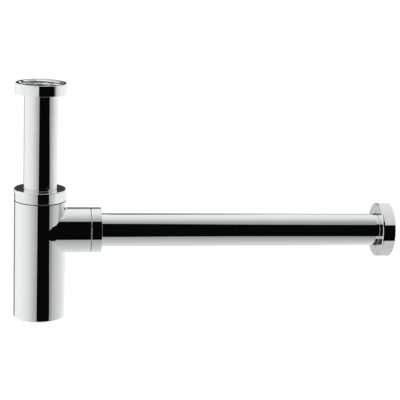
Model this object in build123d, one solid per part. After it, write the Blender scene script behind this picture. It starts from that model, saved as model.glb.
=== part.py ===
from build123d import *
import os
from dataclasses import dataclass

# Chromed brass bottle trap with its straight waste pipe, in millimetres.
# The origin is the centre of the inlet's sealing face, where the tail of a basin waste sits on the gasket.
# +Z is up, along the inlet tube, and +X runs along the waste pipe to the wall.

# Pipes: the inlet tube and the waste pipe are the same stock
pipe_od = 32.0
pipe_wall = 1.0

# Layout of the trap
outlet_drop = 138.4  # sealing face down to the axis of the waste pipe
shoulder_rise = 30.2  # axis of the waste pipe up to the bottle's shoulder
bottle_depth = 86.6  # axis of the waste pipe down to the bottle's underside
dip_gap = 9.5  # end of the inlet tube down to the bottle's floor
branch_reach = 48.9  # axis of the bottle out to the branch's shoulder
pipe_insertion = 21.9  # branch's shoulder back to the inner end of the waste pipe
wall_reach = 351.8  # axis of the bottle out to the face of the wall

# Inlet union: a loose nut under the tube's rolled collar, with a flat gasket on top
inlet_nut_wall = 3.195  # outside the thread
inlet_thread_height = 1.455  # brings the thread to 41.91 mm, the major diameter of G 1 1/4
inlet_thread_depth = 5.0
inlet_mouth_chamfer = 0.8
inlet_nut_web = 1.9
collar_thickness = 1.0
collar_width = 3.2  # how far the collar stands out from the tube
collar_bend = 0.5  # radius under the collar where it is rolled over
gasket_thickness = 1.6

# Bottle and branch
bottle_od = 50.0
bottle_wall = 1.6
bottle_floor = 2.0
branch_wall = 2.4
saddle_radius = 1.0  # polished blend where the branch meets the bottle

# Compression unions: a round nut, a slip ring and a cone seal round a pipe
union_nut_wall = 2.0
union_nut_web = 2.3
bottle_nut_length = 11.3  # from the bottle's shoulder to the nut's outer face
branch_nut_length = 10.4  # from the branch's shoulder to the nut's outer face
neck_foot = 6.0  # how far the thick neck ring reaches below the shoulder
neck_wall = 1.4  # round the mouth of the branch's cone seat
neck_gap = 1.2  # between the pipe and the bore of the neck
seal_width = 2.2  # of a seal's head, outside the pipe
seal_head = 0.6  # height of a seal's head above the neck
seat_depth = 5.0
slip_ring_thickness = 1.5
seam_gap = 0.35  # between a tightened nut and its shoulder

# Wall rosette: a turned cup with a hub that holds a grip ring
rosette_od = 53.7
rosette_depth = 12.9
rosette_wall = 1.6
rosette_front = 1.8
rosette_hub_length = 6.4
rosette_hub_wall = 3.6
grip_section = 2.4
grip_setback = 3.6  # front face of the rosette to the middle of the grip ring
pipe_end_setback = 0.8  # face of the wall back to the end of the waste pipe

# Clearances
thread_clearance = 0.2  # radial, between a neck and its nut
pipe_clearance = 0.3  # radial, where a pipe passes through a nut
rosette_clearance = 0.5  # radial, where the pipe passes through the rosette
seal_clearance = 0.05  # where rubber meets metal
ring_clearance = 0.3  # radial, round a slip ring or a gasket

# Edges
edge_radius = 0.8  # polished outer corners
seam_chamfer = 0.35  # corners on either side of a seam
break_edge = 0.3  # unseen turned corners

# Sizes that follow from those above
pipe_r = pipe_od / 2
bore_r = pipe_r - pipe_wall
axis_z = -outlet_drop
collar_top = -gasket_thickness
collar_under = collar_top - collar_thickness
collar_r = pipe_r + collar_width
inlet_pocket_r = collar_r + ring_clearance
inlet_thread_r = inlet_pocket_r + inlet_thread_height
inlet_nut_r = inlet_thread_r + inlet_nut_wall
inlet_nut_bottom = collar_under - inlet_nut_web
inlet_nut_top = inlet_thread_depth + inlet_mouth_chamfer
rosette_face = wall_reach - rosette_depth
bottle_r = bottle_od / 2
bottle_inner_r = bottle_r - bottle_wall
branch_r = pipe_r + seal_width + neck_wall + thread_clearance + union_nut_wall
branch_inner_r = branch_r - branch_wall
underside_z = axis_z - bottle_depth
floor_z = underside_z + bottle_floor


def turned(corners):
    """A ring or cup turned about Z from a section of (radius, height, rounding) corners."""
    section = make_face(Polyline(*[(r, z) for r, z, _ in corners], close=True))
    for r, z, rounding in corners:
        if rounding:
            corner = section.vertices().sort_by_distance((r, z, 0))[0]
            section = fillet(corner, rounding)
    return revolve(Plane.XZ * section, Axis.Z)


def square(r, z):
    """A section corner that is left sharp."""
    return (r, z, 0)


def chamfered(r, z, size, r_side, z_side):
    """Two section corners that cut the corner at (r, z); r_side and z_side point along its two faces."""
    along_r = square(r + r_side * size, z)
    along_z = square(r, z + z_side * size)
    return along_r, along_z


@dataclass
class Union:
    """A compression union in its own frame: Z runs out of the shoulder along the pipe, from 0 at the shoulder."""

    outside_r: float
    nut_length: float
    place: Location

    @property
    def neck_r(self):
        return self.outside_r - union_nut_wall - thread_clearance

    @property
    def neck_bore_r(self):
        return pipe_r + neck_gap

    @property
    def mouth_r(self):
        return pipe_r + seal_width

    @property
    def ceiling(self):
        return self.nut_length - union_nut_web

    @property
    def seal_top(self):
        return self.ceiling - slip_ring_thickness

    @property
    def neck_length(self):
        return self.seal_top - seal_head

    @property
    def seat_foot(self):
        return self.neck_length - seat_depth

    def nut(self):
        """Round cap nut: a polished barrel with an end web that the pipe passes through."""
        hole_r = pipe_r + pipe_clearance
        thread_r = self.neck_r + thread_clearance
        foot_out, foot_up = chamfered(self.outside_r, seam_gap, seam_chamfer, -1, 1)
        lead_in, lead_up = chamfered(thread_r, seam_gap, break_edge, 1, 1)
        return self.place * turned(
            [
                lead_in,
                foot_out,
                foot_up,
                (self.outside_r, self.nut_length, edge_radius),
                (hole_r, self.nut_length, break_edge),
                square(hole_r, self.ceiling),
                square(thread_r, self.ceiling),
                lead_up,
            ]
        )

    def slip_ring(self):
        """Flat plastic ring that lets the nut turn without twisting the seal."""
        inner_r = pipe_r + ring_clearance
        return self.place * turned(
            [
                square(inner_r, self.seal_top),
                square(self.mouth_r, self.seal_top),
                square(self.mouth_r, self.ceiling),
                square(inner_r, self.ceiling),
            ]
        )

    def cone_seal(self):
        """Rubber ring with a tapered foot that the nut presses into the seat and against the pipe."""
        inner_r = pipe_r + seal_clearance
        return self.place * turned(
            [
                square(inner_r, self.seat_foot),
                square(self.neck_bore_r, self.seat_foot),
                square(self.mouth_r, self.neck_length),
                square(self.mouth_r, self.seal_top),
                square(inner_r, self.seal_top),
            ]
        )

    def neck(self):
        """Outside of the threaded neck, which stands on the shoulder."""
        tip_in, tip_down = chamfered(self.neck_r, self.neck_length, break_edge, -1, -1)
        return [square(self.neck_r, 0), tip_down, tip_in, square(0, self.neck_length)]

    def passage(self, cavity_r, cavity_start):
        """Inside of the carrier: a wide cavity that narrows to the neck's bore and opens into the cone seat."""
        widen = cavity_r - self.neck_bore_r
        return self.place * turned(
            [
                square(0, cavity_start),
                square(cavity_r, cavity_start),
                square(cavity_r, -neck_foot - widen),
                square(self.neck_bore_r, -neck_foot),
                square(self.neck_bore_r + seal_clearance, self.seat_foot - seal_clearance),
                square(self.mouth_r + seal_clearance, self.neck_length),
                square(0, self.neck_length),
            ]
        )


bottle_union = Union(
    outside_r=bottle_r,
    nut_length=bottle_nut_length,
    place=Location((0, 0, axis_z + shoulder_rise)),
)
branch_union = Union(
    outside_r=branch_r,
    nut_length=branch_nut_length,
    place=Location((branch_reach, 0, axis_z), (0, 90, 0)),
)


def shouldered_barrel(union, start, start_rounding):
    """Solid barrel from start up to the union's shoulder, with the threaded neck on top."""
    shoulder_in, shoulder_down = chamfered(union.outside_r, 0, seam_chamfer, -1, -1)
    return union.place * turned(
        [
            square(0, start),
            (union.outside_r, start, start_rounding),
            shoulder_down,
            shoulder_in,
            *union.neck(),
        ]
    )


def bottle_body():
    """Bottle with its outlet branch, brazed into one piece, open at both necks."""
    shoulder_z = axis_z + shoulder_rise
    barrel = shouldered_barrel(bottle_union, underside_z - shoulder_z, edge_radius)
    branch = shouldered_barrel(branch_union, -branch_reach, 0)
    outside = barrel + branch
    saddle = outside.edges().filter_by(GeomType.BSPLINE) + outside.edges().filter_by(GeomType.OTHER)
    outside = fillet(saddle, saddle_radius)
    cavity = bottle_union.passage(bottle_inner_r, floor_z - shoulder_z)
    waterway = branch_union.passage(branch_inner_r, -branch_reach)
    return outside - cavity - waterway


def inlet_nut():
    """Union nut: an open threaded mouth above a web that bears on the collar from below."""
    hole_r = pipe_r + pipe_clearance
    relief = collar_bend + pipe_clearance
    return turned(
        [
            (hole_r, inlet_nut_bottom, break_edge),
            (inlet_nut_r, inlet_nut_bottom, edge_radius),
            (inlet_nut_r, inlet_nut_top, edge_radius),
            square(inlet_thread_r + inlet_mouth_chamfer, inlet_nut_top),
            square(inlet_thread_r, inlet_thread_depth),
            square(inlet_thread_r, 0),
            square(inlet_pocket_r, 0),
            square(inlet_pocket_r, collar_under),
            square(hole_r + relief, collar_under),
            square(hole_r, collar_under - relief),
        ]
    )


def inlet_gasket():
    """Flat washer that lies on the collar and meets the tail of the basin waste."""
    return turned(
        [
            square(bore_r, collar_top),
            square(collar_r, collar_top),
            square(collar_r, 0),
            square(bore_r, 0),
        ]
    )


def inlet_tube():
    """Dip tube: plain pipe with a collar rolled out at the top, open at the foot."""
    foot = floor_z + dip_gap
    return turned(
        [
            square(bore_r, foot),
            square(pipe_r, foot),
            (pipe_r, collar_under, collar_bend),
            square(collar_r, collar_under),
            square(collar_r, collar_top),
            (bore_r, collar_top, collar_bend),
        ]
    )


def along_pipe(start):
    """Placement that turns Z onto the axis of the waste pipe, from start out."""
    return Location((start, 0, axis_z), (0, 90, 0))


def waste_pipe():
    """Straight pipe from the branch to the wall."""
    start = branch_reach - pipe_insertion
    end = wall_reach - pipe_end_setback
    tube = turned(
        [
            square(bore_r, start),
            square(pipe_r, start),
            (pipe_r, end, break_edge),
            square(bore_r, end),
        ]
    )
    return along_pipe(0) * tube


def wall_rosette():
    """Turned cup, open to the wall, with a grooved hub round the pipe."""
    outer_r = rosette_od / 2
    hole_r = pipe_r + rosette_clearance
    skirt_r = outer_r - rosette_wall
    hub_r = hole_r + rosette_hub_wall
    groove_r = pipe_r + grip_section + 2 * seal_clearance
    groove_half = grip_section / 2 + seal_clearance
    return along_pipe(rosette_face) * turned(
        [
            (hole_r, 0, break_edge),
            (outer_r, 0, edge_radius),
            (outer_r, rosette_depth, break_edge),
            square(skirt_r, rosette_depth),
            square(skirt_r, rosette_front),
            square(hub_r, rosette_front),
            square(hub_r, rosette_hub_length),
            square(hole_r, rosette_hub_length),
            square(hole_r, grip_setback + groove_half),
            square(groove_r, grip_setback + groove_half),
            square(groove_r, grip_setback - groove_half),
            square(hole_r, grip_setback - groove_half),
        ]
    )


def grip_ring():
    """Rubber ring of round section in the rosette's groove, which holds it where it is pushed."""
    section_r = grip_section / 2
    middle_r = pipe_r + seal_clearance + section_r
    section = Plane.XZ * Pos(middle_r, grip_setback) * Circle(section_r)
    return along_pipe(rosette_face) * revolve(section, Axis.Z)


nodes = {
    "inlet_nut": inlet_nut(),
    "inlet_gasket": inlet_gasket(),
    "inlet_tube": inlet_tube(),
    "bottle_nut": bottle_union.nut(),
    "bottle_slip_ring": bottle_union.slip_ring(),
    "bottle_cone_seal": bottle_union.cone_seal(),
    "bottle_body": bottle_body(),
    "outlet_nut": branch_union.nut(),
    "outlet_slip_ring": branch_union.slip_ring(),
    "outlet_cone_seal": branch_union.cone_seal(),
    "waste_pipe": waste_pipe(),
    "wall_rosette": wall_rosette(),
    "rosette_grip_ring": grip_ring(),
}

os.makedirs("parts", exist_ok=True)
for name, shape in nodes.items():
    export_step(shape, f"parts/{name}.step")
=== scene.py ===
import math

import bmesh
import bpy
from mathutils import Matrix, Vector


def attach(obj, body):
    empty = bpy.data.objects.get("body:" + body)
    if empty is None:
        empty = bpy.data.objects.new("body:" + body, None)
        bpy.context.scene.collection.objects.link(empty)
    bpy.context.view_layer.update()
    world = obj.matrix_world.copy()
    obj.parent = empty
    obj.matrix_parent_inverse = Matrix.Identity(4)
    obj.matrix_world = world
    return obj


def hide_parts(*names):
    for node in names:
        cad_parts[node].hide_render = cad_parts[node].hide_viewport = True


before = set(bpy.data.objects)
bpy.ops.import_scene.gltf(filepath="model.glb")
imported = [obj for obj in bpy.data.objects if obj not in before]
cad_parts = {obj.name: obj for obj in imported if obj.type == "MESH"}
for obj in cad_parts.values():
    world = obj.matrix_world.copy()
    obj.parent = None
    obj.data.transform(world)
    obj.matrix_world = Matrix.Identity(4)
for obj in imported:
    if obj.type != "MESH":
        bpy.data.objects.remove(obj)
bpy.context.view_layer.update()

# Inlet union nut: the loose round nut that hangs the trap on the tail of the basin waste. It is turned from
# brass bar, with a G 1 1/4 thread cut in its mouth and a web below that bears on the tube's collar.
# The outside is polished and chromed, and the plating runs thin into the thread.
MM = 0.001
pipe_r = 16.0 * MM
bore_r = 15.0 * MM
inlet_nut_r = 24.15 * MM
inlet_nut_top = 5.8 * MM
inlet_nut_bottom = -4.5 * MM
inlet_thread_r = 20.955 * MM
inlet_thread_start = 0.2 * MM
inlet_thread_end = 5.3 * MM
inlet_thread_pitch = 2.309 * MM
inlet_thread_height = 0.95 * MM
inlet_pocket_r = 19.5 * MM
collar_top = -1.6 * MM
collar_under = -2.6 * MM
polished_edge = 0.8 * MM
inlet_mouth_edge = 0.6 * MM
inlet_mouth_chamfer = 0.35 * MM
inlet_mouth_round = 0.1 * MM
inlet_mouth_margin = 0.75 * MM
inlet_top_margin = 0.05 * MM
collar_relief = 0.8 * MM
pipe_clearance = 0.3 * MM
broken_edge = 0.3 * MM
crisp_edge = 0.15 * MM
hard_corner = math.radians(28)


def feed(tree, slot, value):
    """Sets an input of a node by a socket or a plain value."""
    if isinstance(value, bpy.types.NodeSocket):
        tree.links.new(value, slot)
    else:
        slot.default_value = value


def added(tree, kind, **inputs):
    """A new node in a tree, with its inputs named here with underscores for spaces."""
    node = tree.nodes.new(kind)
    for label, value in inputs.items():
        feed(tree, node.inputs[label.replace("_", " ")], value)
    return node


def mixed(tree, share, first, second, blend="MIX"):
    """A mix of two colours in a tree, by sockets or plain values."""
    mix = tree.nodes.new("ShaderNodeMix")
    mix.data_type = "RGBA"
    mix.blend_type = blend
    for label, value in (("Factor", share), ("A", first), ("B", second)):
        feed(tree, mix.inputs[label], value)
    return mix.outputs["Result"]


def noise(tree, grain):
    """Level of a noise of that (scale, detail) on the piece's own coordinates."""
    scale, detail = grain
    place = added(tree, "ShaderNodeTexCoord")
    texture = added(tree, "ShaderNodeTexNoise", Vector=place.outputs["Object"], Scale=scale, Detail=detail)
    return texture.outputs["Fac"]


def clouded(name, tints, clouds, roughness, metallic=0.0, drift=(0.0, 1.0)):
    """A material whose tint and roughness drift between two values with clouds of that (scale, detail)."""
    material = bpy.data.materials.new(name)
    material.use_nodes = True
    tree = material.node_tree
    shader = tree.nodes["Principled BSDF"]
    shader.inputs["Metallic"].default_value = metallic
    cloud = noise(tree, clouds)
    tint = mixed(tree, cloud, (*tints[0], 1), (*tints[1], 1))
    tree.links.new(tint, shader.inputs["Base Color"])
    gloss = added(tree, "ShaderNodeMapRange", Value=cloud)
    for slot, value in zip(("From Min", "From Max", "To Min", "To Max"), (*drift, *roughness)):
        gloss.inputs[slot].default_value = value
    tree.links.new(gloss.outputs["Result"], shader.inputs["Roughness"])
    return material


def add_relief(material, grain, strength, depth):
    """Gives a material a fine relief with a grain of that (scale, detail)."""
    tree = material.node_tree
    relief = added(tree, "ShaderNodeBump", Strength=strength, Distance=depth, Height=noise(tree, grain))
    tree.links.new(relief.outputs["Normal"], tree.nodes["Principled BSDF"].inputs["Normal"])


def chromed_brass(name, roughness):
    """Chrome on brass: a mirror with faint clouds and buffing lines, as rough as the brass under it."""
    tints = ((0.845, 0.850, 0.855), (0.880, 0.884, 0.888))
    material = clouded(name, tints, (45.0, 5.0), roughness, metallic=1.0, drift=(0.3, 0.75))
    add_relief(material, (900.0, 2.0), 0.02, 0.02 * MM)
    return material


chrome = chromed_brass("polished_chrome", (0.012, 0.032))
satin = chromed_brass("satin_chrome", (0.05, 0.09))


def shaping_tree(name, inputs, output):
    """An empty tree with inputs from (name, kind) pairs and one mesh as its output."""
    tree = bpy.data.node_groups.new(name, "GeometryNodeTree")
    for label, kind in inputs:
        tree.interface.new_socket(label, in_out="INPUT", socket_type="NodeSocket" + kind)
    tree.interface.new_socket(output, in_out="OUTPUT", socket_type="NodeSocketGeometry")
    return tree, tree.nodes.new("NodeGroupInput"), tree.nodes.new("NodeGroupOutput")


def worked_out(tree, operation, *values):
    """One step of arithmetic in a tree, on sockets or plain numbers."""
    step = tree.nodes.new("ShaderNodeMath")
    step.operation = operation
    for slot, value in zip(step.inputs, values):
        feed(tree, slot, value)
    return step.outputs["Value"]


def smooth_and_finish(tree, mesh_out, given):
    """Last nodes of a tree: smooth shading up to the hard corners, real mesh, and the finish."""
    smooth = added(tree, "GeometryNodeSetShadeSmooth", Geometry=mesh_out)
    bend = added(tree, "GeometryNodeInputMeshEdgeAngle")
    hard = added(tree, "FunctionNodeCompare", A=bend.outputs["Unsigned Angle"], B=hard_corner)
    hard.operation = "GREATER_THAN"
    crease = added(tree, "GeometryNodeSetShadeSmooth", Geometry=smooth.outputs["Geometry"])
    crease.domain = "EDGE"
    crease.inputs["Shade Smooth"].default_value = False
    tree.links.new(hard.outputs["Result"], crease.inputs["Selection"])
    real = added(tree, "GeometryNodeRealizeInstances", Geometry=crease.outputs["Geometry"])
    finish = added(tree, "GeometryNodeSetMaterial", Geometry=real.outputs["Geometry"])
    tree.links.new(given.outputs["Finish"], finish.inputs["Material"])
    return finish.outputs["Geometry"]


def upright(tree, curve_out):
    """A path whose normals lie level, so that a section swept along it stays upright."""
    level = added(tree, "GeometryNodeSetCurveNormal", Curve=curve_out)
    level.mode = "Z_UP"
    return level.outputs["Curve"]


def moved_to(tree, curve_out, across, along):
    """A curve with its points moved to these two coordinates in its plane."""
    point = added(tree, "ShaderNodeCombineXYZ", X=across, Y=along)
    move = added(tree, "GeometryNodeSetPosition", Geometry=curve_out, Position=point.outputs["Vector"])
    return move.outputs["Geometry"]


def coordinates(tree):
    """The X, Y and Z sockets of where each point is."""
    where = added(tree, "GeometryNodeInputPosition")
    return added(tree, "ShaderNodeSeparateXYZ", Vector=where.outputs["Position"]).outputs


def lathe_tree():
    """Turns a closed section, drawn in the XZ plane, about Z, with each corner rounded by its own radius."""
    inputs = [
        ("Section", "Geometry"),
        ("Facets", "Int"),
        ("Corner facets", "Int"),
        ("Spindle radius", "Float"),
        ("Finish", "Material"),
    ]
    tree, given, done = shaping_tree("Lathe", inputs, "Turned piece")
    outline = added(tree, "GeometryNodeMeshToCurve", Mesh=given.outputs["Section"])
    rounding = added(tree, "GeometryNodeInputNamedAttribute", Name="rounding")
    rounding.data_type = "FLOAT"
    corners = added(tree, "GeometryNodeFilletCurve", Curve=outline.outputs["Curve"])
    corners.mode = "POLY"
    corners.inputs["Limit Radius"].default_value = True
    tree.links.new(given.outputs["Corner facets"], corners.inputs["Count"])
    tree.links.new(rounding.outputs["Attribute"], corners.inputs["Radius"])
    at = coordinates(tree)
    spindle_r = given.outputs["Spindle radius"]
    off_spindle = worked_out(tree, "SUBTRACT", at["X"], spindle_r)
    downward = worked_out(tree, "MULTIPLY", at["Z"], -1.0)
    profile = moved_to(tree, corners.outputs["Curve"], off_spindle, downward)
    spindle = added(tree, "GeometryNodeCurvePrimitiveCircle", Radius=spindle_r)
    tree.links.new(given.outputs["Facets"], spindle.inputs["Resolution"])
    path = upright(tree, spindle.outputs["Curve"])
    sweep = added(tree, "GeometryNodeCurveToMesh", Curve=path, Profile_Curve=profile)
    tree.links.new(smooth_and_finish(tree, sweep.outputs["Mesh"], given), done.inputs["Turned piece"])
    return tree


def put_in_scene(name, data):
    """A new object of that mesh, lamp or camera, in the scene."""
    thing = bpy.data.objects.new(name, data)
    bpy.context.scene.collection.objects.link(thing)
    return thing


def shaped_by(tree, mesh, settings):
    """The plain mesh that a tree makes of a start mesh, with flats kept flat beside small roundings."""
    carrier = put_in_scene("workpiece", mesh)
    shaping = carrier.modifiers.new("Shaping", "NODES")
    shaping.node_group = tree
    for socket in tree.interface.items_tree:
        if socket.in_out == "INPUT" and socket.name in settings:
            shaping[socket.identifier] = settings[socket.name]
    flats = carrier.modifiers.new("Flats", "WEIGHTED_NORMAL")
    flats.keep_sharp = True
    bpy.context.view_layer.update()
    depsgraph = bpy.context.evaluated_depsgraph_get()
    made = bpy.data.meshes.new_from_object(carrier.evaluated_get(depsgraph), depsgraph=depsgraph)
    carrier.modifiers.clear()
    bpy.data.objects.remove(carrier)
    return made


lathe = lathe_tree()


def turned(corners, finish, facets=192):
    """Mesh of a ring turned about Z. A corner is (radius, height) or (radius, height, rounding)."""
    points = [(c[0], c[1]) for c in corners]
    doubled_area = sum(
        x0 * y1 - x1 * y0 for (x0, y0), (x1, y1) in zip(points, points[1:] + points[:1])
    )
    ordered = list(corners) if doubled_area > 0 else list(reversed(corners))
    section = bpy.data.meshes.new("section")
    edges = [(i, (i + 1) % len(ordered)) for i in range(len(ordered))]
    section.from_pydata([(c[0], 0, c[1]) for c in ordered], edges, [])
    rounding = section.attributes.new("rounding", "FLOAT", "POINT")
    for i, corner in enumerate(ordered):
        rounding.data[i].value = corner[2] if len(corner) > 2 else 0.0
    settings = {"Facets": facets, "Corner facets": 7, "Spindle radius": 1.0 * MM, "Finish": finish}
    return shaped_by(lathe, section, settings)


ridge_lift = 0.45
run_out_scale = 0.02


def thread_tree():
    """A right-handed screw thread that climbs from Z = 0 and fades out at both ends."""
    sizes = ("Pitch", "Turns", "Root radius", "Ridge height", "Root width", "Crest width", "Run-out turns")
    inputs = [(size, "Float") for size in sizes] + [("Facets per turn", "Int"), ("Finish", "Material")]
    tree, given, done = shaping_tree("Screw thread", inputs, "Thread")
    turns, root_r = given.outputs["Turns"], given.outputs["Root radius"]
    climb = worked_out(tree, "MULTIPLY", given.outputs["Pitch"], turns)
    helix = added(tree, "GeometryNodeCurveSpiral", Reverse=True, Rotations=turns, Height=climb)
    tree.links.new(given.outputs["Facets per turn"], helix.inputs["Resolution"])
    tree.links.new(root_r, helix.inputs["Start Radius"])
    tree.links.new(root_r, helix.inputs["End Radius"])
    ridge = added(tree, "GeometryNodeCurvePrimitiveQuadrilateral")
    ridge.mode = "TRAPEZOID"
    ridge.inputs["Height"].default_value = 1.0
    ridge.inputs["Offset"].default_value = 0.0
    tree.links.new(given.outputs["Root width"], ridge.inputs["Bottom Width"])
    tree.links.new(given.outputs["Crest width"], ridge.inputs["Top Width"])
    at = coordinates(tree)
    from_root = worked_out(tree, "ADD", at["Y"], ridge_lift)
    rise = worked_out(tree, "MULTIPLY", from_root, given.outputs["Ridge height"])
    profile = moved_to(tree, ridge.outputs["Curve"], rise, at["X"])
    along = added(tree, "GeometryNodeSplineParameter")
    from_start = worked_out(tree, "MULTIPLY", along.outputs["Factor"], turns)
    from_end = worked_out(tree, "SUBTRACT", turns, from_start)
    nearest_end = worked_out(tree, "MINIMUM", from_start, from_end)
    fade = worked_out(tree, "DIVIDE", nearest_end, given.outputs["Run-out turns"])
    fade = worked_out(tree, "MINIMUM", fade, 1.0)
    fade = worked_out(tree, "MAXIMUM", fade, run_out_scale)
    path = upright(tree, helix.outputs["Curve"])
    sweep = added(tree, "GeometryNodeCurveToMesh", Curve=path, Profile_Curve=profile, Scale=fade)
    sweep.inputs["Fill Caps"].default_value = True
    tree.links.new(smooth_and_finish(tree, sweep.outputs["Mesh"], given), done.inputs["Thread"])
    return tree


screw_thread = thread_tree()


def thread_ridge(root_r, height, pitch, start, end, finish, phase=0.0, root_share=0.78, crest_share=0.16):
    """Mesh of a thread ridge from start to end. A negative height stands inwards, and phase is in turns."""
    settings = {
        "Pitch": pitch,
        "Turns": (end - start) / pitch,
        "Root radius": root_r,
        "Ridge height": height,
        "Root width": root_share * pitch,
        "Crest width": crest_share * pitch,
        "Run-out turns": 0.3,
        "Facets per turn": 128,
        "Finish": finish,
    }
    ridge = shaped_by(screw_thread, bpy.data.meshes.new("bare"), settings)
    ridge.transform(Matrix.Translation((0, 0, start)) @ Matrix.Rotation(2 * math.pi * phase, 4, "Z"))
    return ridge


def faces_outward(mesh):
    """Turns every face of each closed shell outwards."""
    shell = bmesh.new()
    shell.from_mesh(mesh)
    bmesh.ops.recalc_face_normals(shell, faces=shell.faces)
    shell.to_mesh(mesh)
    shell.free()


def piece(name, meshes, body, place=None):
    """One object of one or more meshes, placed in its mesh, that stands for the CAD node of its name."""
    whole = put_in_scene(name, meshes[0])
    extras = [put_in_scene(name + "_extra", mesh) for mesh in meshes[1:]]
    if extras:
        with bpy.context.temp_override(active_object=whole, selected_editable_objects=[whole] + extras):
            bpy.ops.object.join()
    whole.data.name = name
    if place:
        whole.data.transform(place)
    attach(whole, body)
    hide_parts(name)
    return whole


inlet_nut_ring = turned(
    [
        (pipe_r + pipe_clearance, inlet_nut_bottom, broken_edge),
        (inlet_nut_r, inlet_nut_bottom, crisp_edge),
        (inlet_nut_r, inlet_nut_top, inlet_mouth_edge),
        (inlet_thread_r + inlet_mouth_chamfer, inlet_nut_top, inlet_mouth_round),
        (inlet_thread_r, inlet_nut_top - inlet_mouth_chamfer),
        (inlet_thread_r, 0),
        (inlet_pocket_r, 0),
        (inlet_pocket_r, collar_under),
        (pipe_r + pipe_clearance + collar_relief, collar_under),
        (pipe_r + pipe_clearance, collar_under - collar_relief),
    ],
    chrome,
)
inlet_nut_ring.materials.append(satin)
for face in inlet_nut_ring.polygons:
    in_mouth = face.center.xy.length < inlet_thread_r + inlet_mouth_margin
    if in_mouth and 0 < face.center.z < inlet_nut_top - inlet_top_margin:
        face.material_index = 1
inlet_thread = thread_ridge(
    inlet_thread_r,
    -inlet_thread_height,
    inlet_thread_pitch,
    inlet_thread_start,
    inlet_thread_end,
    satin,
    phase=0.55,
    root_share=0.96,
    crest_share=0.04,
)
faces_outward(inlet_thread)
piece("inlet_nut", [inlet_nut_ring, inlet_thread], "inlet_union")

# Inlet gasket: a flat washer cut from black rubber sheet. It lies on the tube's collar inside the nut and is
# pinched by the tail of the basin waste.
collar_r = 19.2 * MM
gasket_edge = 0.12 * MM


def moulded_rubber():
    """Black seal rubber: a dull skin with fine mould grain and a trace of chalk."""
    tints = ((0.012, 0.012, 0.013), (0.045, 0.045, 0.044))
    material = clouded("seal_rubber", tints, (260.0, 6.0), (0.55, 0.85))
    add_relief(material, (2400.0, 2.0), 0.3, 0.05 * MM)
    return material


rubber = moulded_rubber()
gasket_ring = turned(
    [
        (bore_r, collar_top, gasket_edge),
        (collar_r, collar_top, gasket_edge),
        (collar_r, 0, gasket_edge),
        (bore_r, 0, gasket_edge),
    ],
    rubber,
)
piece("inlet_gasket", [gasket_ring], "tube")

# Inlet tube: the dip tube, drawn brass pipe of 32 mm with a collar rolled out at its top end. It passes down
# through the bottle's nut and seal and ends under the water line inside the bottle.
tube_foot = -213.5 * MM
collar_bend = 0.5 * MM
cut_edge = 0.2 * MM
tube_wall = turned(
    [
        (bore_r, tube_foot, cut_edge),
        (pipe_r, tube_foot, cut_edge),
        (pipe_r, collar_under, collar_bend),
        (collar_r, collar_under, crisp_edge),
        (collar_r, collar_top, crisp_edge),
        (bore_r, collar_top, collar_bend),
    ],
    chrome,
)
piece("inlet_tube", [tube_wall], "tube")

# Bottle nut: the round cap on top of the bottle, turned from brass and chromed. It screws down over the
# bottle's neck and presses the slip ring and the cone seal against the inlet tube.
outlet_axis = -138.4 * MM
shoulder_z = outlet_axis + 30.2 * MM
bottle_r = 25.0 * MM
bottle_neck_r = 22.8 * MM
bottle_nut_length = 11.3 * MM
nut_web = 2.3 * MM
seam_gap = 0.35 * MM
seam_chamfer = 0.35 * MM
thread_clearance = 0.2 * MM
union_pitch = 1.5 * MM
union_ridge = 0.85 * MM
union_thread_start = 0.9 * MM
union_thread_stop = 2.2 * MM


def painted_seam_shade():
    """Near-black, dull brass for the faces in the seams under the nuts: painted shade of those narrow gaps.
    """
    tints = ((0.030, 0.027, 0.024), (0.075, 0.064, 0.050))
    return clouded("painted_seam_shade", tints, (220.0, 4.0), (0.45, 0.7), metallic=0.7)


seam_shade = painted_seam_shade()


def cap_nut(outside_r, neck_r, length, rim_edge):
    """Meshes of a round union nut with its inner thread, standing on its shoulder at Z = 0."""
    thread_r = neck_r + thread_clearance
    ceiling = length - nut_web
    barrel = turned(
        [
            (thread_r + broken_edge, seam_gap),
            (outside_r, seam_gap, seam_chamfer),
            (outside_r, length, rim_edge),
            (pipe_r + pipe_clearance, length, broken_edge),
            (pipe_r + pipe_clearance, ceiling),
            (thread_r, ceiling),
            (thread_r, seam_gap + broken_edge),
        ],
        chrome,
    )
    # The downward faces at the nut's foot, inside the seam, get the near-black brass: painted shade of the
    # gap.
    barrel.materials.append(seam_shade)
    for face in barrel.polygons:
        if face.normal.z < -0.25 and face.center.z < seam_gap + seam_chamfer:
            face.material_index = 1
    inner_thread = thread_ridge(
        thread_r,
        -union_ridge,
        union_pitch,
        union_thread_start,
        ceiling - union_thread_stop,
        chrome,
        phase=0.5,
    )
    faces_outward(inner_thread)
    return [barrel, inner_thread]


on_bottle = Matrix.Translation((0, 0, shoulder_z))
bottle_nut_meshes = cap_nut(bottle_r, bottle_neck_r, bottle_nut_length, polished_edge)
piece("bottle_nut", bottle_nut_meshes, "bottle_cap", on_bottle)

# Bottle slip ring: a flat ring of off-white plastic under the nut, which lets the nut turn without dragging
# the rubber round with it. It is stamped from sheet and lies loose.
slip_ring_thickness = 1.5 * MM
soft_edge = 0.2 * MM
seal_r = 18.2 * MM


def stamped_plastic():
    """Off-white polyethylene: slightly waxy, with a cloudy tone and stamping marks."""
    clouds = (120.0, 4.0)
    material = clouded("slip_plastic", ((0.70, 0.69, 0.64), (0.82, 0.81, 0.77)), clouds, (0.35, 0.55))
    add_relief(material, clouds, 0.2, 0.05 * MM)
    return material


plastic = stamped_plastic()


def slip_ring(nut_length):
    """Mesh of the slip ring that lies under the web of a nut of that length."""
    top = nut_length - nut_web
    inner_r = pipe_r + pipe_clearance
    return turned(
        [
            (inner_r, top - slip_ring_thickness, soft_edge),
            (seal_r, top - slip_ring_thickness, soft_edge),
            (seal_r, top, soft_edge),
            (inner_r, top, soft_edge),
        ],
        plastic,
    )


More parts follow.
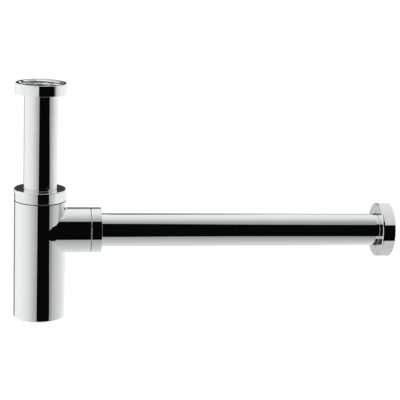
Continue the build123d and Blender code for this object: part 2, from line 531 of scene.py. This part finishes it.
piece("bottle_slip_ring", [slip_ring(bottle_nut_length)], "bottle_ring", on_bottle)

# Bottle cone seal: a moulded rubber ring with a tapered foot. The nut pushes it into the cone seat of the
# neck, where it closes on the tube.
neck_bore_r = 17.2 * MM
seat_depth = 5.0 * MM
seal_head = 0.6 * MM
seal_clearance = 0.05 * MM


def cone_seal(nut_length):
    """Mesh of the cone seal under the slip ring of a nut of that length."""
    head_top = nut_length - nut_web - slip_ring_thickness
    neck_tip = head_top - seal_head
    inner_r = pipe_r + seal_clearance
    return turned(
        [
            (inner_r, neck_tip - seat_depth, soft_edge),
            (neck_bore_r, neck_tip - seat_depth, soft_edge),
            (seal_r, neck_tip),
            (seal_r, head_top, soft_edge),
            (inner_r, head_top, soft_edge),
        ],
        rubber,
    )


piece("bottle_cone_seal", [cone_seal(bottle_nut_length)], "bottle", on_bottle)

# Bottle body: a brass cup with a side branch brazed in, blended at the joint and polished all over before it
# is chromed. The branch is hollow right into the cup, and both ends carry a threaded neck with a cone seat.
bottle_underside = outlet_axis - 86.6 * MM
bottle_inner_r = 23.4 * MM
bottle_floor = bottle_underside + 2.0 * MM
branch_r = 21.8 * MM
branch_inner_r = 19.4 * MM
branch_neck_r = 19.6 * MM
branch_reach = 48.9 * MM
branch_nut_length = 10.4 * MM
saddle_tight_radius = 1.0 * MM
saddle_side_radius = 40.0 * MM
saddle_narrowing_above = 36.0
saddle_narrowing_below = 80.0
neck_foot = 6.0 * MM
neck_thread_depth = 0.92 * MM
neck_tip_chamfer = 0.5 * MM
neck_tip_gap = 0.8 * MM
side_steps = 96
window_half_angle = math.pi / 2
window_half_height = 29.0 * MM
inner_window = (-29.0 * MM, 23.0 * MM)
saddle_rings = 14
fillet_rings = 9
wall_rings = 10
rounding_steps = 7
underside_rings = (18.0 * MM, 9.0 * MM)
floor_ring_r = 14.0 * MM


def cavity_r(rise):
    """Radius of the cavity at a height above the outlet axis. It narrows under the neck at 45 degrees."""
    narrow_from = shoulder_z - outlet_axis - neck_foot
    above = max(0.0, rise - (narrow_from - (bottle_inner_r - neck_bore_r)))
    return max(bottle_inner_r - above, neck_bore_r)


def window_edge(low, high):
    """Points (angle, rise) round the wall window that holds the branch, from its right side upwards."""
    half = side_steps // 2
    across = [window_half_angle * (1 - 2 * i / side_steps) for i in range(side_steps)]
    upward = [low + (high - low) * i / side_steps for i in range(side_steps + 1)]
    right = [(window_half_angle, z) for z in upward]
    top = [(a, high) for a in across]
    left = [(-window_half_angle, z) for z in reversed(upward)]
    bottom = [(-a, low) for a in across]
    return right[half:-1] + top + left[:-1] + bottom + right[:half]


branch_turns = [
    math.atan2(rise / window_half_height, angle / window_half_angle)
    for angle, rise in window_edge(-window_half_height, window_half_height)
]


class Shell:
    """Vertices, faces and known smooth normals of the body while it is put together ring by ring."""

    def __init__(self):
        self.points = []
        self.faces = []
        self.normals = {}
        self.skin_faces = set()
        # Faces in the seams under the nuts, which get the near-black brass of painted shade.
        self.seam_shade_faces = set()

    def ring(self, points, normals=None):
        first = len(self.points)
        self.points.extend(points)
        indices = list(range(first, first + len(points)))
        if normals:
            self.normals.update(zip(indices, normals))
        return indices

    def band(self, ring_a, ring_b, skin=False, closed=True, in_seam_shade=False):
        count = len(ring_a)
        for i in range(count if closed else count - 1):
            j = (i + 1) % count
            if skin:
                self.skin_faces.add(len(self.faces))
            if in_seam_shade:
                self.seam_shade_faces.add(len(self.faces))
            self.faces.append((ring_a[i], ring_a[j], ring_b[j], ring_b[i]))

    def fan(self, ring, centre):
        middle = self.ring([centre])[0]
        for i in range(len(ring)):
            self.faces.append((ring[i], ring[(i + 1) % len(ring)], middle))


body_shell = Shell()


def on_wall(angle, rise, radius):
    """Point of a wall of that radius round the bottle's axis."""
    return Vector((radius * math.cos(angle), radius * math.sin(angle), outlet_axis + rise))


def wall_normal(angle):
    return Vector((math.cos(angle), math.sin(angle), 0))


def rear_angle(step):
    """Angle of a step round the back of the bottle, from one side of the window to the other."""
    return window_half_angle + (2 * math.pi - 2 * window_half_angle) * step / side_steps


def wall_with_window(shell, radius_at, low, high, hole, skin):
    """Wall of the bottle between two heights, with a window meshed round the hole. Returns the edge of the
    hole and the closed rings along the wall's lower and upper end."""
    edge = window_edge(low, high)
    edge_ring = shell.ring(
        [on_wall(a, z, radius_at(z)) for a, z in edge],
        [wall_normal(a) for a, _ in edge] if skin else None,
    )
    outer = edge_ring
    for k in range(1, saddle_rings + 1):
        share = k / saddle_rings
        spots = [(a + (ha - a) * share, z + (hz - z) * share) for (a, z), (ha, hz) in zip(edge, hole)]
        ring = shell.ring(
            [on_wall(a, z, radius_at(z)) for a, z in spots],
            [wall_normal(a) for a, _ in spots] if skin else None,
        )
        shell.band(outer, ring, skin)
        outer = ring
    half = side_steps // 2
    right = edge_ring[-half:] + edge_ring[: half + 1]
    top = edge_ring[half : half + side_steps + 1]
    left = list(reversed(edge_ring[half + side_steps : half + 2 * side_steps + 1]))
    bottom = edge_ring[half + 2 * side_steps : half + 3 * side_steps + 1]
    columns = [right]
    for j in range(1, side_steps):
        angle = rear_angle(j)
        heights = [low + (high - low) * i / side_steps for i in range(side_steps + 1)]
        columns.append(
            shell.ring(
                [on_wall(angle, z, radius_at(z)) for z in heights],
                [wall_normal(angle)] * (side_steps + 1) if skin else None,
            )
        )
    columns.append(left)
    for column, after in zip(columns, columns[1:]):
        shell.band(after, column, skin, closed=False)
    lower_end = bottom[:-1] + [column[0] for column in columns[:-1]]
    upper_end = list(reversed(top))[:-1] + [column[-1] for column in columns[:-1]]
    return outer, lower_end, upper_end


def round_angles():
    """Angles of the vertices along the wall's ends, in the order of its end rings."""
    front = [-window_half_angle + 2 * window_half_angle * i / side_steps for i in range(side_steps)]
    return front + [rear_angle(j) for j in range(side_steps)]


def bottle_ring(radius, height):
    return [Vector((radius * math.cos(a), radius * math.sin(a), height)) for a in round_angles()]


def branch_ring(radius, reach):
    return [Vector((reach, radius * math.cos(t), outlet_axis + radius * math.sin(t))) for t in branch_turns]


def neck_rings(neck_r, nut_length, shoulder_r):
    """(radius, height above the shoulder) of the rings over a shoulder and its neck, down to the bore."""
    tip = nut_length - nut_web - slip_ring_thickness - seal_head
    core_r = neck_r - neck_thread_depth
    mouth_r = seal_r + seal_clearance
    tip_chamfer = min(neck_tip_chamfer, (core_r - mouth_r) / 2)
    return [
        (shoulder_r, -seam_chamfer),
        (shoulder_r - seam_chamfer, 0),
        (core_r, 0),
        (core_r, tip - tip_chamfer),
        (core_r - tip_chamfer, tip),
        (mouth_r, tip),
        (neck_bore_r + seal_clearance, tip - seat_depth - seal_clearance),
        (neck_bore_r, -neck_foot),
    ]


def outer_saddle():
    """The polished blend: a ball rolled round the joint, larger at the sides, where the two walls nearly run
    on into each other. Gives, for each turn of the branch, where the ball is, where it touches the bottle
    and the branch, and its radius."""
    spots = []
    for t in branch_turns:
        narrowing = saddle_narrowing_above if math.sin(t) > 0 else saddle_narrowing_below
        sideways = abs(math.cos(t)) ** narrowing
        saddle_radius = saddle_tight_radius + (saddle_side_radius - saddle_tight_radius) * sideways
        across = (branch_r + saddle_radius) * math.cos(t)
        rise = (branch_r + saddle_radius) * math.sin(t)
        out = math.sqrt((bottle_r + saddle_radius) ** 2 - across**2)
        ball = Vector((out, across, outlet_axis + rise))
        on_bottle_wall = Vector((out, across, 0)) * (bottle_r / (bottle_r + saddle_radius))
        on_bottle_wall.z = outlet_axis + rise
        to_axis = branch_r / (branch_r + saddle_radius)
        on_branch_wall = Vector((out, across * to_axis, outlet_axis + rise * to_axis))
        spots.append((ball, on_bottle_wall, on_branch_wall, saddle_radius))
    return spots


saddle = outer_saddle()
outer_hole = [(math.atan2(b.y, b.x), b.z - outlet_axis) for _, b, _, _ in saddle]
hole_ring, lower_end, upper_end = wall_with_window(
    body_shell, lambda rise: bottle_r, -window_half_height, window_half_height, outer_hole, skin=True
)

last = hole_ring
for k in range(1, fillet_rings + 1):
    blend_points, blend_normals = [], []
    for ball, start, end, saddle_radius in saddle:
        from_ball = (start - ball).normalized().slerp((end - ball).normalized(), k / fillet_rings)
        blend_points.append(ball + from_ball * saddle_radius)
        blend_normals.append(-from_ball)
    ring = body_shell.ring(blend_points, blend_normals)
    body_shell.band(last, ring, skin=True)
    last = ring
branch_normals = [Vector((0, math.cos(t), math.sin(t))) for t in branch_turns]
full_ring = branch_ring(branch_r, branch_reach - seam_chamfer)
for k in range(1, wall_rings + 1):
    share = k / wall_rings
    points = [end.lerp(far, share) for (_, _, end, _), far in zip(saddle, full_ring)]
    ring = body_shell.ring(points, branch_normals)
    body_shell.band(last, ring, skin=True)
    last = ring
# The flat shoulder ring under the outlet nut gets the near-black brass: painted shade of the seam.
for k, (radius, height) in enumerate(neck_rings(branch_neck_r, branch_nut_length, branch_r)[1:]):
    ring = body_shell.ring(branch_ring(radius, branch_reach + height))
    body_shell.band(last, ring, in_seam_shade=k == 1)
    last = ring
widening = branch_inner_r - neck_bore_r
ring = body_shell.ring(branch_ring(branch_inner_r, branch_reach - neck_foot - widening))
body_shell.band(last, ring)
last = ring

inner_hole = []
for t in branch_turns:
    rise = branch_inner_r * math.sin(t)
    inner_hole.append((math.asin(branch_inner_r * math.cos(t) / cavity_r(rise)), rise))
inner_edge, inner_lower, inner_upper = wall_with_window(
    body_shell, cavity_r, inner_window[0], inner_window[1], inner_hole, skin=False
)
body_shell.band(last, inner_edge)

last = upper_end
# The shoulder chamfer and the flat shoulder under the bottle nut get the near-black brass: painted shade of
# the seam.
for radius, height in neck_rings(bottle_neck_r, bottle_nut_length, bottle_r):
    normals = [wall_normal(a) for a in round_angles()] if height == -seam_chamfer else None
    ring = body_shell.ring(bottle_ring(radius, shoulder_z + height), normals)
    body_shell.band(last, ring, skin=normals is not None, in_seam_shade=height == 0)
    last = ring
body_shell.band(last, inner_upper)

last = lower_end
for k in range(rounding_steps + 1):
    turn = math.pi / 2 * k / rounding_steps
    inset = polished_edge * (1 - math.cos(turn))
    drop = polished_edge * math.sin(turn)
    height = bottle_underside + polished_edge - drop
    outward = [wall_normal(a) * math.cos(turn) - Vector((0, 0, math.sin(turn))) for a in round_angles()]
    ring = body_shell.ring(bottle_ring(bottle_r - inset, height), outward)
    body_shell.band(last, ring, skin=True)
    last = ring
for radius in underside_rings:
    ring = body_shell.ring(bottle_ring(radius, bottle_underside))
    body_shell.band(last, ring)
    last = ring
body_shell.fan(last, Vector((0, 0, bottle_underside)))

last = inner_lower
for radius in (bottle_inner_r, floor_ring_r):
    ring = body_shell.ring(bottle_ring(radius, bottle_floor))
    body_shell.band(last, ring)
    last = ring
body_shell.fan(last, Vector((0, 0, bottle_floor)))


def finished_shell(shell, name, finish):
    """Mesh of the shell, with hard corners kept and the known normals on its polished skin."""
    mesh = bpy.data.meshes.new(name)
    mesh.from_pydata(shell.points, [], shell.faces)
    faces_outward(mesh)
    mesh.materials.append(finish)
    mesh.materials.append(seam_shade)
    mesh.shade_smooth()
    mesh.set_sharp_from_angle(angle=hard_corner)
    corner_normals = [Vector((0, 0, 0))] * len(mesh.loops)
    for polygon in mesh.polygons:
        # Seam faces take the near-black brass in the second slot: painted shade in the gaps under the nuts.
        if polygon.index in shell.seam_shade_faces:
            polygon.material_index = 1
        if polygon.index in shell.skin_faces:
            for corner in polygon.loop_indices:
                corner_normals[corner] = shell.normals[mesh.loops[corner].vertex_index]
    mesh.normals_split_custom_set(corner_normals)
    return mesh


body_mesh = finished_shell(body_shell, "bottle_body", chrome)


def neck_thread(neck_r, nut_length, place):
    """Mesh of the outer thread on a neck."""
    tip = nut_length - nut_web - slip_ring_thickness - seal_head
    ridge = thread_ridge(
        neck_r - neck_thread_depth,
        neck_thread_depth,
        union_pitch,
        union_thread_start,
        tip - neck_tip_gap,
        chrome,
    )
    faces_outward(ridge)
    ridge.transform(place)
    return ridge


def on_pipe(reach):
    """Place on the outlet axis, with Z turned to run along the waste pipe."""
    return Matrix.Translation((reach, 0, outlet_axis)) @ Matrix.Rotation(math.pi / 2, 4, "Y")


on_branch = on_pipe(branch_reach)
bottle_thread = neck_thread(bottle_neck_r, bottle_nut_length, on_bottle)
branch_thread = neck_thread(branch_neck_r, branch_nut_length, on_branch)
piece("bottle_body", [body_mesh, bottle_thread, branch_thread], "bottle")

# Outlet nut, slip ring and cone seal: the same union once more, a size smaller, on the end of the branch.
# They close on the waste pipe, which can be pushed in or drawn out before the nut is tightened.
outlet_nut_meshes = cap_nut(branch_r, branch_neck_r, branch_nut_length, broken_edge)
piece("outlet_nut", outlet_nut_meshes, "outlet_cap", on_branch)
piece("outlet_slip_ring", [slip_ring(branch_nut_length)], "outlet_ring", on_branch)
piece("outlet_cone_seal", [cone_seal(branch_nut_length)], "bottle", on_branch)

# Waste pipe: straight drawn brass pipe of 32 mm, chromed, cut square at both ends. It runs from inside the
# branch to the drain socket in the wall.
pipe_start = 27.0 * MM
pipe_end = 351.0 * MM
pipe_wall = turned(
    [
        (bore_r, pipe_start, cut_edge),
        (pipe_r, pipe_start, cut_edge),
        (pipe_r, pipe_end, broken_edge),
        (bore_r, pipe_end, cut_edge),
    ],
    chrome,
)
piece("waste_pipe", [pipe_wall], "pipe", on_pipe(0))

# Wall rosette: a shallow turned cup, open to the wall, that hides the hole round the socket. It slides on
# the pipe and is chromed inside and out.
rosette_r = 26.85 * MM
rosette_face = 338.9 * MM
rosette_depth = 12.9 * MM
rosette_hole_r = 16.5 * MM
rosette_hub_r = 20.1 * MM
rosette_skirt_r = 25.25 * MM
rosette_front = 1.8 * MM
rosette_hub_length = 6.4 * MM
rosette_inner_round = 0.4 * MM
grip_middle = 3.6 * MM
groove_half = 1.25 * MM
groove_r = 18.5 * MM
rosette_cup = turned(
    [
        (rosette_hole_r, 0, broken_edge),
        (rosette_r, 0, polished_edge),
        (rosette_r, rosette_depth, broken_edge),
        (rosette_skirt_r, rosette_depth, crisp_edge),
        (rosette_skirt_r, rosette_front, rosette_inner_round),
        (rosette_hub_r, rosette_front, rosette_inner_round),
        (rosette_hub_r, rosette_hub_length, crisp_edge),
        (rosette_hole_r, rosette_hub_length, crisp_edge),
        (rosette_hole_r, grip_middle + groove_half),
        (groove_r, grip_middle + groove_half),
        (groove_r, grip_middle - groove_half),
        (rosette_hole_r, grip_middle - groove_half),
    ],
    chrome,
)
piece("wall_rosette", [rosette_cup], "rosette", on_pipe(rosette_face))

# Rosette grip ring: a rubber ring of round section in the groove of the rosette's hub. It drags on the pipe,
# so that the rosette stays where it is pushed.
grip_section_r = 1.2 * MM
grip_ring_r = pipe_r + seal_clearance + grip_section_r
grip_corners = 32
grip_ring = turned(
    [
        (
            grip_ring_r + grip_section_r * math.cos(2 * math.pi * i / grip_corners),
            grip_middle + grip_section_r * math.sin(2 * math.pi * i / grip_corners),
        )
        for i in range(grip_corners)
    ],
    rubber,
)
piece("rosette_grip_ring", [grip_ring], "rosette", on_pipe(rosette_face))

# Studio: a light tent round the trap, bright behind the trap and greyer towards its opening in front, above
# a plain white floor. Metal mirrors the tent, and everything else gets its even light.
bpy.context.scene.view_settings.view_transform = "Standard"


def direction(azimuth, elevation):
    """Unit vector to a place in the tent: azimuth from the front (-Y) towards the wall (+X), in degrees."""
    a, e = math.radians(azimuth), math.radians(elevation)
    return Vector((math.sin(a) * math.cos(e), -math.cos(a) * math.cos(e), math.sin(e)))


tent_front = (27, 8)
tent_widths = (1.405, 1.0)
tent_shades = [(44, 0.34), (58, 0.445), (80, 0.755), (92, 0.875), (110, 0.96), (130, 0.99)]
dark_corner = (190, 5)
dark_corner_widths = (0.95, 0.57)
dark_corner_shades = [(14, 0.05), (17.5, 0.30), (20, 0.60), (22.5, 0.83), (26, 1.0)]
tent_cool = 0.08
overhead = (0, 90)
floor_shades = [(128, 1.0), (138, 0.96), (147, 0.87), (156, 0.79), (165, 0.75), (180, 0.71)]
even_grey = (0.8, 0.8, 0.8, 1)
world = bpy.data.worlds.new("light_tent")
world.use_nodes = True
bpy.context.scene.world = world
tent = world.node_tree
tent.nodes.clear()
look = added(tent, "ShaderNodeTexCoord")


def shade_by_angle(middle, shades, widths=(1.0, 1.0), cool=0.0):
    """Brightness by the angle in degrees from a place in the tent, from (angle, brightness) pairs. The
    widths count the angle more or less sideways and upwards, and cool tints the darker shades."""
    azimuth, elevation = middle
    axes = [
        direction(azimuth + 90, 0) * widths[0],
        direction(azimuth, elevation + 90) * widths[1],
        direction(azimuth, elevation),
    ]
    seen_from_middle = added(tent, "ShaderNodeCombineXYZ")
    for axis, slot in zip(axes, seen_from_middle.inputs):
        part = added(tent, "ShaderNodeVectorMath")
        part.operation = "DOT_PRODUCT"
        part.inputs[1].default_value = axis
        tent.links.new(look.outputs["Generated"], part.inputs[0])
        tent.links.new(part.outputs["Value"], slot)
    unit = added(tent, "ShaderNodeVectorMath")
    unit.operation = "NORMALIZE"
    tent.links.new(seen_from_middle.outputs["Vector"], unit.inputs[0])
    lean = added(tent, "ShaderNodeSeparateXYZ", Vector=unit.outputs["Vector"])
    angle = worked_out(tent, "ARCCOSINE", lean.outputs["Z"])
    ramp = added(tent, "ShaderNodeValToRGB", Fac=worked_out(tent, "DIVIDE", angle, math.pi))
    stops = ramp.color_ramp.elements
    while len(stops) > 1:
        stops.remove(stops[-1])
    for i, (degrees, value) in enumerate(shades):
        stop = stops[0] if i == 0 else stops.new(degrees / 180)
        stop.position = degrees / 180
        stop.color = (value * (1 - cool * (1 - value)), value, value, 1)
    return ramp.outputs["Color"]


tent_shade = shade_by_angle(tent_front, tent_shades, tent_widths, tent_cool)
corner_shade = shade_by_angle(dark_corner, dark_corner_shades, dark_corner_widths)
floor_shade = shade_by_angle(overhead, floor_shades)
mirrored = mixed(tent, 1.0, tent_shade, corner_shade, "MULTIPLY")
mirrored = mixed(tent, 1.0, mirrored, floor_shade, "MULTIPLY")
rays = added(tent, "ShaderNodeLightPath")
tent_light = mixed(tent, rays.outputs["Is Glossy Ray"], even_grey, mirrored)
seen = mixed(tent, rays.outputs["Is Camera Ray"], tent_light, (1, 1, 1, 1))
sky = added(tent, "ShaderNodeBackground", Color=seen)
added(tent, "ShaderNodeOutputWorld", Surface=sky.outputs["Background"])

# Cards: what else the chrome mirrors. Black ones stand for the tent's opening and for the camera, grey ones
# for dim places below, beside and behind the trap, a bright one lights the inlet's mouth, and narrow strips
# tone the inlet nut, the bottle nut and the rosette. Only mirror rays meet them.
black = 0.0026
dark_grey = 0.048
edge_grey = 0.25
side_grey = 0.60
mouth_white = 1.05
card_tint = (0.985, 1.0, 1.0, 1)
far_away = 100.0
graded_distance = 110.0
card_step = 2.0
tent_middle = Vector((0.15, 0, -0.12))


def mirror_card(name, corners, faces, shades):
    """A glowing card that only mirrors see, with a shade at each corner."""
    mesh = bpy.data.meshes.new(name)
    mesh.from_pydata(corners, [], faces)
    shade = mesh.attributes.new("shade", "FLOAT", "POINT")
    for i, value in enumerate(shades):
        shade.data[i].value = value
    card = put_in_scene(name, mesh)
    finish = bpy.data.materials.new(name)
    finish.use_nodes = True
    tree = finish.node_tree
    tree.nodes.clear()
    level = added(tree, "ShaderNodeAttribute")
    level.attribute_name = "shade"
    glow = added(tree, "ShaderNodeEmission", Color=card_tint, Strength=level.outputs["Fac"])
    added(tree, "ShaderNodeOutputMaterial", Surface=glow.outputs["Emission"])
    mesh.materials.append(finish)
    card.visible_camera = False
    card.visible_diffuse = False
    card.visible_shadow = False
    card.visible_transmission = False
    card.visible_volume_scatter = False


def plain_card(name, corners, shade):
    """A card of one outline and one shade."""
    mirror_card(name, corners, [list(range(len(corners)))], [shade] * len(corners))


def far_corners(sides):
    """Corners of a far card from (azimuth, elevation) pairs, with the sides divided to follow the sky."""
    corners = []
    for (a0, e0), (a1, e1) in zip(sides, sides[1:] + sides[:1]):
        steps = max(1, round(math.hypot(a1 - a0, e1 - e0) / card_step))
        for i in range(steps):
            share = i / steps
            towards = direction(a0 + (a1 - a0) * share, e0 + (e1 - e0) * share)
            corners.append(tent_middle + far_away * towards)
    return corners


def four_sides(azimuths, elevations):
    """Pairs round a card between two azimuths and two elevations."""
    (left, right), (low, high) = azimuths, elevations
    return [(left, low), (right, low), (right, high), (left, high)]


opening_sides = [
    (-6, 56.5), (5, 56.3), (9, 56.6), (12, 55.2), (15.6, 51.8), (16.6, 50.2), (19, 48.3), (22.6, 46.2),
    (40, 37.6), (59, 22),
    (59, -8.6), (60, -10), (65, -11.7), (68, -13.3), (41, -13.35), (43.2, -17), (45.5, -19), (23, -36.7),
    (20, -35.3), (13, -35.2), (10.5, -36.2), (8, -38.4), (4, -39.5), (-6, -39.5),
]
low_dark_sides = [
    (-21, -37), (-27, -52), (-50, -63), (-118, -63), (-145, -37),
    (-168, -33), (-160, -60), (-120, -80), (-50, -80), (-15, -60),
]
plain_card("tent_opening", far_corners(opening_sides), black)
plain_card("tent_low_dark", far_corners(low_dark_sides), dark_grey)
plain_card("tent_edge_grey", far_corners(four_sides((-143, -157), (-13.4, -26))), edge_grey)
plain_card("tent_side_grey", far_corners(four_sides((-158.5, -172), (-4, -24))), side_grey)
flag_half_width = 15
flag_heights = (18, 34)
for name, azimuth in (("flag_left", -54), ("flag_back_left", -138), ("flag_back_right", 141)):
    flag_azimuths = (azimuth - flag_half_width, azimuth + flag_half_width)
    plain_card(name, far_corners(four_sides(flag_azimuths, flag_heights)), dark_grey)


def graded_card(name, shades, heights):
    """A far card between the lowest and the highest of some elevations, from (azimuth, shade) pairs."""
    corners = [
        tent_middle + graded_distance * direction(azimuth, height)
        for azimuth, _ in shades
        for height in heights
    ]
    rows = len(heights)
    faces = [
        (i * rows + j, (i + 1) * rows + j, (i + 1) * rows + j + 1, i * rows + j + 1)
        for i in range(len(shades) - 1)
        for j in range(rows - 1)
    ]
    mirror_card(name, corners, faces, [shade for _, shade in shades for _ in heights])


low_right_shades = [(47, 0.33), (54, 0.40), (61, 0.54), (70, 0.61), (83, 0.66), (103, 0.785), (120, 0.85)]
back_high_shades = [(158, 0.60), (165.5, 0.70), (168, 0.46), (171, 0.24), (174.2, 0.11)]
back_low_shades = [(158, 0.62), (164, 0.63), (170, 0.64), (173, 0.68), (177, 0.74)]
graded_card("tent_low_right", low_right_shades, (-40, -30, -20, -13.32))
graded_card("tent_back_high", back_high_shades, (-4, 10, 22, 33))
graded_card("tent_back_low", back_low_shades, (-54, -40, -24))


def collar_card(name, shades, span, place, reach, fall=0.0):
    """A strip bent round the Z axis of a place, between two heights, from (turn, shade) pairs. It can fall
    with the turn."""
    first_turn = shades[0][0]
    ends = []
    for turn, _ in shades:
        across = reach * math.sin(math.radians(turn))
        forward = reach * math.cos(math.radians(turn))
        for height in span:
            ends.append(place @ Vector((across, -forward, height + fall * (turn - first_turn))))
    strips = [(2 * i, 2 * i + 1, 2 * i + 3, 2 * i + 2) for i in range(len(shades) - 1)]
    mirror_card(name, ends, strips, [shade for _, shade in shades for _ in span])


rosette_above = [(-26, 0.65), (-47.1, 0.76), (-65.3, 0.82), (-84.2, 0.86), (-137, 0.86)]
rosette_below = [(16.9, 0.60), (35.5, 0.61), (62.2, 0.66), (96.4, 0.66), (137, 0.60)]
rosette_span = (343.5 * MM, 360.0 * MM)
rosette_reach = 35.0 * MM
collar_card("rosette_collar_above", rosette_above, rosette_span, on_pipe(0), rosette_reach)
collar_card("rosette_collar_below", rosette_below, rosette_span, on_pipe(0), rosette_reach)
on_inlet = Matrix.Identity(4)
nut_left = [(-10.6, 0.68), (-33, 0.84), (-50, 0.905), (-70, 0.94), (-100, 1.05), (-150, 1.05)]
nut_left_span = (-17.0 * MM, -5.0 * MM)
nut_left_reach = 100.0 * MM
collar_card("nut_collar_left", nut_left, nut_left_span, on_inlet, nut_left_reach)
nut_right = [
    (56, 0.02), (59.8, 0.11), (64.6, 0.33), (70.3, 0.69), (79, 0.80), (93.3, 0.95), (140.8, 1.05),
]
nut_right_span = (-95.6 * MM, -75.0 * MM)
nut_right_reach = 600.0 * MM
collar_card("nut_collar_right", nut_right, nut_right_span, on_inlet, nut_right_reach)
bottle_nut_right = [(21.9, 0.40), (31.3, 0.60), (37.4, 0.73), (44, 0.92), (59, 0.92), (74.5, 1.0)]
bottle_nut_span = (-109.1 * MM, -98.9 * MM)
bottle_nut_reach = 30.0 * MM
bottle_nut_fall = -0.016 * MM
collar_card(
    "bottle_nut_collar", bottle_nut_right, bottle_nut_span, on_inlet, bottle_nut_reach, bottle_nut_fall
)
camera_screen = [(-0.245, -1.01), (0.32, -1.01), (0.32, 1.35), (-0.245, 1.35)]
screen_distance = 1.15
mouth_card = [(-0.08, -0.07), (0.035, -0.07), (0.035, 0.055), (-0.08, 0.055)]
mouth_card_height = 0.15
plain_card("mouth_light", [(x, y, mouth_card_height) for x, y in mouth_card], mouth_white)
plain_card("camera_screen", [(x, -screen_distance, z) for x, z in camera_screen], black)

# Floor: a wide sheet of white paper well below the trap, which hangs in the picture. The camera sees it glow
# a little, and mirrors don't see it.
paper_colour = (0.85, 0.85, 0.85, 1)
paper_roughness = 0.9
paper_glow = 1.25
paper_glow_share = 0.6
floor_height = -2.0
floor_half = 30.0
floor_mesh = bpy.data.meshes.new("white_floor")
floor_mesh.from_pydata(
    [(x * floor_half, y * floor_half, floor_height) for x, y in ((-1, -1), (1, -1), (1, 1), (-1, 1))],
    [],
    [(0, 1, 2, 3)],
)
floor = put_in_scene("white_floor", floor_mesh)
floor_paper = bpy.data.materials.new("white_floor_paper")
floor_paper.use_nodes = True
paper = floor_paper.node_tree
paper_shader = paper.nodes["Principled BSDF"]
paper_shader.inputs["Base Color"].default_value = paper_colour
paper_shader.inputs["Roughness"].default_value = paper_roughness
paper_rays = added(paper, "ShaderNodeLightPath")
paper_white = added(paper, "ShaderNodeEmission", Strength=paper_glow)
seen_glow = worked_out(paper, "MULTIPLY", paper_rays.outputs["Is Camera Ray"], paper_glow_share)
paper_mix = added(paper, "ShaderNodeMixShader", Fac=seen_glow)
paper.links.new(paper_shader.outputs["BSDF"], paper_mix.inputs[1])
paper.links.new(paper_white.outputs["Emission"], paper_mix.inputs[2])
paper.links.new(paper_mix.outputs["Shader"], paper.nodes["Material Output"].inputs["Surface"])
floor_mesh.materials.append(floor_paper)
floor.visible_glossy = False

# Overhead lamp: a broad soft box above and in front of the trap, which gives rubber and plastic a little
# shape. Mirrors don't see it.
lamp_data = bpy.data.lights.new("overhead_soft_box", "AREA")
lamp_data.size = 1.2
lamp_data.energy = 6.0
lamp = put_in_scene("overhead_soft_box", lamp_data)
lamp.location = (0.1, -0.4, 1.4)
lamp.rotation_euler = (math.radians(16), 0, 0)
lamp.visible_glossy = False

# Camera: a long lens in front of the trap, a little above it and turned towards the wall. Its place and its
# angles were fitted to the edges in the photo.
camera_place = Vector((-0.03791, -1.15379, 0.17421))
camera_yaw = math.radians(-9.58)
camera_tilt = math.radians(90 - 13.57)
camera_roll = math.radians(2.44)
camera_data = bpy.data.cameras.new("photo_view")
camera_data.sensor_width = 36.0
camera_data.lens = 109.62
camera = put_in_scene("photo_view", camera_data)
camera.matrix_world = (
    Matrix.Translation(camera_place)
    @ Matrix.Rotation(camera_yaw, 4, "Z")
    @ Matrix.Rotation(camera_tilt, 4, "X")
    @ Matrix.Rotation(camera_roll, 4, "Z")
)
bpy.context.scene.camera = camera
